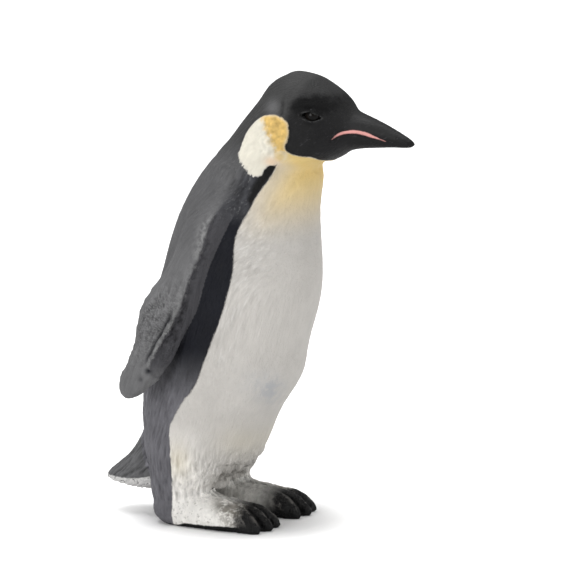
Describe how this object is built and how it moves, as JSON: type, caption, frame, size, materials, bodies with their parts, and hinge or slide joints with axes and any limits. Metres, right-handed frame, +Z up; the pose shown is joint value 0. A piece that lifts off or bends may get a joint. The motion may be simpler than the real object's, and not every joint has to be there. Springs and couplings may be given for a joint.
{
  "type": "penguin figurine",
  "caption": "Free-standing painted vinyl figurine of an upright penguin, with a hollow trunk in two shells and plug-in head, flippers, feet and tail.",
  "frame": {"origin": "on the floor under the middle of the figurine, at the bottom centre of its box", "axes": "+Z up to the crown, -Y the way the bird faces, +X towards its left flipper"},
  "size_m": [0.036, 0.0594, 0.0799],
  "materials": {
    "dark_vinyl": "matte paint with a fine feather relief",
    "white_vinyl": "matte paint with a fine feather relief",
    "foot_vinyl": "matte paint",
    "eye_gloss": "gloss"
  },
  "bodies": {
    "root": {"head": "dark_vinyl", "lower_bill": "dark_vinyl", "left_eye": "eye_gloss", "right_eye": "eye_gloss", "breast_shell": "white_vinyl", "back_shell": "dark_vinyl", "left_flipper": "dark_vinyl", "right_flipper": "dark_vinyl", "left_foot": "foot_vinyl", "right_foot": "foot_vinyl", "tail": "dark_vinyl"}
  },
  "joints": []
}
